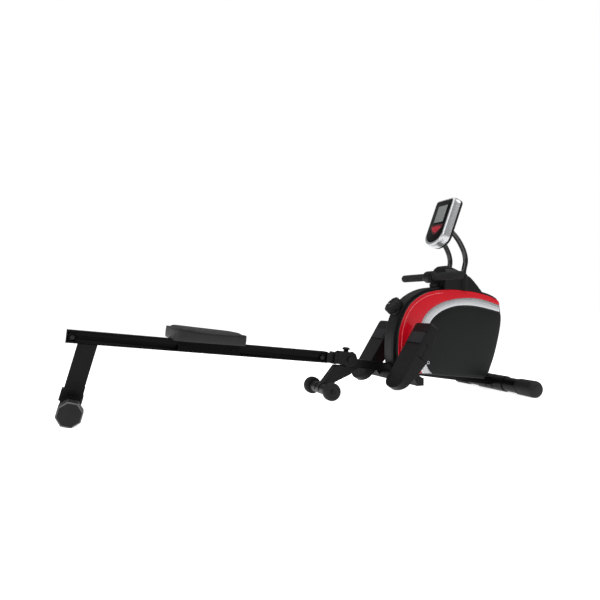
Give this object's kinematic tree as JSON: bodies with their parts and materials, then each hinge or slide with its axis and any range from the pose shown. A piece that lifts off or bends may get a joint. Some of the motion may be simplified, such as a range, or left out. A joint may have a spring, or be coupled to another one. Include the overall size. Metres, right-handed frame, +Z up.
{
  "type": "folding rowing machine",
  "caption": "Folding magnetic rowing machine with a sliding seat on an inclined rail, tipping footplates, a strap-pulled handle and a console.",
  "frame": {"origin": "on the floor under the middle of the overall length, in the middle plane", "axes": "+X towards the flywheel end, +Y to the rower's left, +Z up"},
  "size_m": [1.8693, 0.55, 0.8528],
  "materials": {
    "frame_paint": "black powder coat, satin",
    "rail_finish": "black, satin",
    "black_plastic": "fine grain, satin",
    "panel_plastic": "fine grain, satin",
    "red_gloss": "gloss",
    "silver_gloss": "silver, satin gloss",
    "black_rubber": "matt",
    "grip_foam": "matt foam",
    "seat_skin": "grained vinyl, matt",
    "webbing": "woven",
    "bright_steel": "zinc plated",
    "grey_iron": "machined and painted",
    "screen_glass": "grey display window"
  },
  "bodies": {
    "frame": {"main_beam": "frame_paint", "wheel_leg": "frame_paint", "wheel_tube": "frame_paint", "fold_bolt": "bright_steel", "front_foot_tube": "frame_paint", "front_foot_cap_left": "black_rubber", "front_foot_cap_right": "black_rubber", "pedal_bar": "frame_paint", "shroud_left": "panel_plastic", "shroud_right": "panel_plastic", "shroud_rim": "black_plastic", "red_cover_left": "red_gloss", "red_cover_right": "red_gloss", "silver_trim_left": "silver_gloss", "silver_trim_right": "silver_gloss", "top_cover": "black_plastic", "console_tube_left": "frame_paint", "console_tube_right": "frame_paint", "console_frame": "silver_gloss", "console_face": "black_plastic", "console_screen": "screen_glass", "console_back": "black_plastic", "drive_bracket": "grey_iron", "flywheel_axle": "bright_steel", "reel_axle": "bright_steel", "drive_belt": "black_rubber"},
    "rail_assembly": {"rail": "rail_finish", "rail_end_cap": "black_plastic", "seat_stop_rear": "black_rubber", "seat_stop_front": "black_rubber", "hinge_knuckle": "black_plastic", "rear_leg": "frame_paint", "rear_foot_tube": "frame_paint", "rear_foot_cap_left": "black_rubber", "rear_foot_cap_right": "black_rubber"},
    "lock_knob": {"fold_lock_knob": "black_plastic"},
    "seat": {"seat_pad": "seat_skin", "seat_base": "black_plastic", "seat_carriage": "frame_paint"},
    "handle": {"handle_bar": "black_plastic", "handle_grip_left": "grip_foam", "handle_grip_right": "grip_foam", "strap": "webbing"},
    "strap_reel": {"strap_reel": "black_plastic"},
    "guide_roller": {"guide_roller": "black_plastic"},
    "flywheel": {"flywheel": "grey_iron"},
    "drive_pulley": {"drive_pulley": "black_plastic"},
    "magnet_arm": {"magnet_arm": "grey_iron"},
    "tension_knob": {"tension_knob": "black_plastic"},
    "footplate_left": {"footplate_left": "black_plastic", "foot_strap_left": "webbing"},
    "footplate_right": {"footplate_right": "black_plastic", "foot_strap_right": "webbing"},
    "wheel_left": {"transport_wheel_left": "black_rubber"},
    "wheel_right": {"transport_wheel_right": "black_rubber"},
    "console_button": {"console_button": "red_gloss"},
    "roller_rear_left": {"seat_roller_rear_left": "black_rubber"},
    "roller_rear_right": {"seat_roller_rear_right": "black_rubber"},
    "roller_front_left": {"seat_roller_front_left": "black_rubber"},
    "roller_front_right": {"seat_roller_front_right": "black_rubber"}
  },
  "joints": [
    {"name": "rail_fold", "type": "hinge", "parent": "frame", "child": "rail_assembly", "pos_m": [0.16232, 0, 0.1638], "axis": [0, 1, 0], "range_deg": [0, 75]},
    {"name": "lock_pull", "type": "slide", "parent": "rail_assembly", "child": "lock_knob", "axis": [0.108, 0, 0.9942], "range_m": [0, 0.008], "stiffness_N_per_m": 600, "springref_m": -0.004},
    {"name": "seat_slide", "type": "slide", "parent": "rail_assembly", "child": "seat", "axis": [0.9942, 0, -0.108], "range_m": [-0.366, 0.35]},
    {"name": "handle_pull", "type": "slide", "parent": "frame", "child": "handle", "axis": [-1, 0, 0], "range_m": [0, 1.1], "stiffness_N_per_m": 20, "springref_m": -0.5, "deforming": ["strap"]},
    {"name": "reel_turn", "type": "hinge", "parent": "frame", "child": "strap_reel", "pos_m": [0.56732, 0, 0.34], "axis": [0, 1, 0], "continuous": true},
    {"name": "guide_turn", "type": "hinge", "parent": "frame", "child": "guide_roller", "pos_m": [0.62532, 0, 0.4917], "axis": [0, 1, 0], "continuous": true},
    {"name": "flywheel_turn", "type": "hinge", "parent": "frame", "child": "flywheel", "pos_m": [0.71232, 0, 0.24], "axis": [0, 1, 0], "continuous": true},
    {"name": "pulley_turn", "type": "hinge", "parent": "frame", "child": "drive_pulley", "pos_m": [0.56732, 0, 0.34], "axis": [0, 1, 0], "continuous": true},
    {"name": "knob_turn", "type": "hinge", "parent": "frame", "child": "tension_knob", "pos_m": [0.37832, 0, 0.381], "axis": [-0.7547, 0, 0.6561], "range_deg": [0, 315]},
    {"name": "magnet_swing", "type": "hinge", "parent": "frame", "child": "magnet_arm", "pos_m": [0.72408, 0, 0.37449], "axis": [0, -1, 0], "range_deg": [0, 6]},
    {"name": "footplate_left_tip", "type": "hinge", "parent": "frame", "child": "footplate_left", "pos_m": [0.35932, 0.155, 0.112], "axis": [0, -1, 0], "range_deg": [0, 22]},
    {"name": "footplate_right_tip", "type": "hinge", "parent": "frame", "child": "footplate_right", "pos_m": [0.35932, -0.155, 0.112], "axis": [0, -1, 0], "range_deg": [0, 22]},
    {"name": "wheel_left_roll", "type": "hinge", "parent": "frame", "child": "wheel_left", "pos_m": [0.04832, 0.101, 0.049], "axis": [0, 1, 0], "continuous": true},
    {"name": "wheel_right_roll", "type": "hinge", "parent": "frame", "child": "wheel_right", "pos_m": [0.04832, -0.101, 0.049], "axis": [0, 1, 0], "continuous": true},
    {"name": "button_press", "type": "slide", "parent": "frame", "child": "console_button", "axis": [0.9336, 0, -0.3584], "range_m": [0, 0.0012], "stiffness_N_per_m": 400, "springref_m": -0.001},
    {"name": "roller_rear_left_turn", "type": "hinge", "parent": "seat", "child": "roller_rear_left", "pos_m": [-0.5011, 0.0185, 0.23285], "axis": [0, 1, 0], "continuous": true},
    {"name": "roller_rear_right_turn", "type": "hinge", "parent": "seat", "child": "roller_rear_right", "pos_m": [-0.5011, -0.0185, 0.23285], "axis": [0, 1, 0], "continuous": true},
    {"name": "roller_front_left_turn", "type": "hinge", "parent": "seat", "child": "roller_front_left", "pos_m": [-0.32613, 0.0185, 0.21385], "axis": [0, 1, 0], "continuous": true},
    {"name": "roller_front_right_turn", "type": "hinge", "parent": "seat", "child": "roller_front_right", "pos_m": [-0.32613, -0.0185, 0.21385], "axis": [0, 1, 0], "continuous": true}
  ],
  "couplings": [
    {"joint": "reel_turn", "follows": "handle_pull", "rad_per_m": -28.329},
    {"joint": "guide_turn", "follows": "handle_pull", "rad_per_m": -75.188},
    {"joint": "pulley_turn", "follows": "flywheel_turn", "ratio": 0.373},
    {"joint": "magnet_swing", "follows": "knob_turn", "ratio": 0.019},
    {"joint": "roller_rear_left_turn", "follows": "seat_slide", "rad_per_m": 75.758},
    {"joint": "roller_rear_right_turn", "follows": "seat_slide", "rad_per_m": 75.758},
    {"joint": "roller_front_left_turn", "follows": "seat_slide", "rad_per_m": 75.758},
    {"joint": "roller_front_right_turn", "follows": "seat_slide", "rad_per_m": 75.758}
  ]
}
